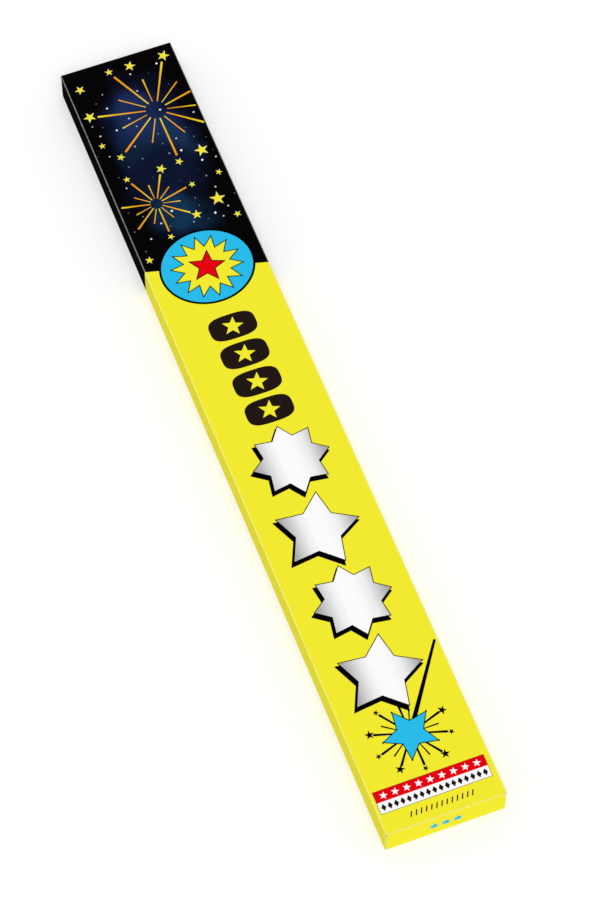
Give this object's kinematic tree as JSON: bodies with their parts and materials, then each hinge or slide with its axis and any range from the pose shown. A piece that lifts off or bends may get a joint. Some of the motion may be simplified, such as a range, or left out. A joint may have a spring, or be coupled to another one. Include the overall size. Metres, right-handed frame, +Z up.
{
  "type": "sparkler carton",
  "caption": "Long flat tuck-end paperboard carton of loose wire sparklers, with a hinged lid, tuck flap and dust flaps at each end.",
  "frame": {"origin": "centre of the carton's underside, on the surface that it lies on", "axes": "+X along the carton to the end where the sparklers' handles lie, +Y to the far long side, +Z up out of the front panel"},
  "size_m": [0.52, 0.0686, 0.0196],
  "materials": {
    "yellow_print": "coated paperboard printed bright yellow",
    "night_print": "coated paperboard printed night black",
    "plain_board": "unprinted grey board",
    "steel_wire": "drawn steel wire",
    "spark_coating": "rough dipped grey composition with metal flecks"
  },
  "bodies": {
    "carton": {"front_panel": "yellow_print", "back_panel": "yellow_print", "near_side_wall": "yellow_print", "far_side_wall": "yellow_print", "glue_flap": "plain_board"},
    "handle_end_lid": {"handle_end_lid": "yellow_print"},
    "handle_end_tuck_flap": {"handle_end_tuck_flap": "plain_board"},
    "handle_end_near_dust_flap": {"handle_end_near_dust_flap": "plain_board"},
    "handle_end_far_dust_flap": {"handle_end_far_dust_flap": "plain_board"},
    "head_end_lid": {"head_end_lid": "night_print"},
    "head_end_tuck_flap": {"head_end_tuck_flap": "plain_board"},
    "head_end_near_dust_flap": {"head_end_near_dust_flap": "plain_board"},
    "head_end_far_dust_flap": {"head_end_far_dust_flap": "plain_board"},
    "sparkler_01": {"sparkler_01_wire": "steel_wire", "sparkler_01_coating": "spark_coating"},
    "sparkler_02": {"sparkler_02_wire": "steel_wire", "sparkler_02_coating": "spark_coating"},
    "sparkler_03": {"sparkler_03_wire": "steel_wire", "sparkler_03_coating": "spark_coating"},
    "sparkler_04": {"sparkler_04_wire": "steel_wire", "sparkler_04_coating": "spark_coating"},
    "sparkler_05": {"sparkler_05_wire": "steel_wire", "sparkler_05_coating": "spark_coating"},
    "sparkler_06": {"sparkler_06_wire": "steel_wire", "sparkler_06_coating": "spark_coating"},
    "sparkler_07": {"sparkler_07_wire": "steel_wire", "sparkler_07_coating": "spark_coating"},
    "sparkler_08": {"sparkler_08_wire": "steel_wire", "sparkler_08_coating": "spark_coating"},
    "sparkler_09": {"sparkler_09_wire": "steel_wire", "sparkler_09_coating": "spark_coating"},
    "sparkler_10": {"sparkler_10_wire": "steel_wire", "sparkler_10_coating": "spark_coating"},
    "sparkler_11": {"sparkler_11_wire": "steel_wire", "sparkler_11_coating": "spark_coating"},
    "sparkler_12": {"sparkler_12_wire": "steel_wire", "sparkler_12_coating": "spark_coating"}
  },
  "joints": [
    {"name": "handle_end_lid_hinge", "type": "hinge", "parent": "carton", "child": "handle_end_lid", "pos_m": [0.25977, 0, 0.00022], "axis": [0, 1, 0], "range_deg": [0, 90]},
    {"name": "handle_end_tuck_crease", "type": "hinge", "parent": "handle_end_lid", "child": "handle_end_tuck_flap", "pos_m": [0.25955, 0, 0.01828], "axis": [0, 1, 0], "range_deg": [-58.5, 0]},
    {"name": "handle_end_near_dust_hinge", "type": "hinge", "parent": "carton", "child": "handle_end_near_dust_flap", "pos_m": [0.25907, -0.0341, 0.00982], "axis": [0, 0, -1], "range_deg": [0, 22.5]},
    {"name": "handle_end_far_dust_hinge", "type": "hinge", "parent": "carton", "child": "handle_end_far_dust_flap", "pos_m": [0.25907, 0.0341, 0.00982], "axis": [0, 0, 1], "range_deg": [0, 22.5]},
    {"name": "head_end_lid_hinge", "type": "hinge", "parent": "carton", "child": "head_end_lid", "pos_m": [-0.25977, 0, 0.00022], "axis": [0, -1, 0], "range_deg": [0, 90]},
    {"name": "head_end_tuck_crease", "type": "hinge", "parent": "head_end_lid", "child": "head_end_tuck_flap", "pos_m": [-0.25955, 0, 0.01828], "axis": [0, -1, 0], "range_deg": [-58.5, 0]},
    {"name": "head_end_near_dust_hinge", "type": "hinge", "parent": "carton", "child": "head_end_near_dust_flap", "pos_m": [-0.25907, -0.0341, 0.00982], "axis": [0, 0, 1], "range_deg": [0, 22.5]},
    {"name": "head_end_far_dust_hinge", "type": "hinge", "parent": "carton", "child": "head_end_far_dust_flap", "pos_m": [-0.25907, 0.0341, 0.00982], "axis": [0, 0, -1], "range_deg": [0, 22.5]},
    {"name": "sparkler_01_slide", "type": "slide", "parent": "carton", "child": "sparkler_01", "axis": [1, 0, 0], "range_m": [-0.0042, 0.0042]},
    {"name": "sparkler_02_slide", "type": "slide", "parent": "carton", "child": "sparkler_02", "axis": [1, 0, 0], "range_m": [-0.0042, 0.0042]},
    {"name": "sparkler_03_slide", "type": "slide", "parent": "carton", "child": "sparkler_03", "axis": [1, 0, 0], "range_m": [-0.0042, 0.0042]},
    {"name": "sparkler_04_slide", "type": "slide", "parent": "carton", "child": "sparkler_04", "axis": [1, 0, 0], "range_m": [-0.0042, 0.0042]},
    {"name": "sparkler_05_slide", "type": "slide", "parent": "carton", "child": "sparkler_05", "axis": [1, 0, 0], "range_m": [-0.0042, 0.0042]},
    {"name": "sparkler_06_slide", "type": "slide", "parent": "carton", "child": "sparkler_06", "axis": [1, 0, 0], "range_m": [-0.0042, 0.0042]},
    {"name": "sparkler_07_slide", "type": "slide", "parent": "carton", "child": "sparkler_07", "axis": [1, 0, 0], "range_m": [-0.0042, 0.0042]},
    {"name": "sparkler_08_slide", "type": "slide", "parent": "carton", "child": "sparkler_08", "axis": [1, 0, 0], "range_m": [-0.0042, 0.0042]},
    {"name": "sparkler_09_slide", "type": "slide", "parent": "carton", "child": "sparkler_09", "axis": [1, 0, 0], "range_m": [-0.0042, 0.0042]},
    {"name": "sparkler_10_slide", "type": "slide", "parent": "carton", "child": "sparkler_10", "axis": [1, 0, 0], "range_m": [-0.0042, 0.0042]},
    {"name": "sparkler_11_slide", "type": "slide", "parent": "carton", "child": "sparkler_11", "axis": [1, 0, 0], "range_m": [-0.0042, 0.0042]},
    {"name": "sparkler_12_slide", "type": "slide", "parent": "carton", "child": "sparkler_12", "axis": [1, 0, 0], "range_m": [-0.0042, 0.0042]}
  ],
  "couplings": [
    {"joint": "handle_end_tuck_crease", "follows": "handle_end_lid_hinge", "ratio": -0.65},
    {"joint": "handle_end_near_dust_hinge", "follows": "handle_end_lid_hinge", "ratio": 0.25},
    {"joint": "handle_end_far_dust_hinge", "follows": "handle_end_lid_hinge", "ratio": 0.25},
    {"joint": "head_end_tuck_crease", "follows": "head_end_lid_hinge", "ratio": -0.65},
    {"joint": "head_end_near_dust_hinge", "follows": "head_end_lid_hinge", "ratio": 0.25},
    {"joint": "head_end_far_dust_hinge", "follows": "head_end_lid_hinge", "ratio": 0.25}
  ]
}
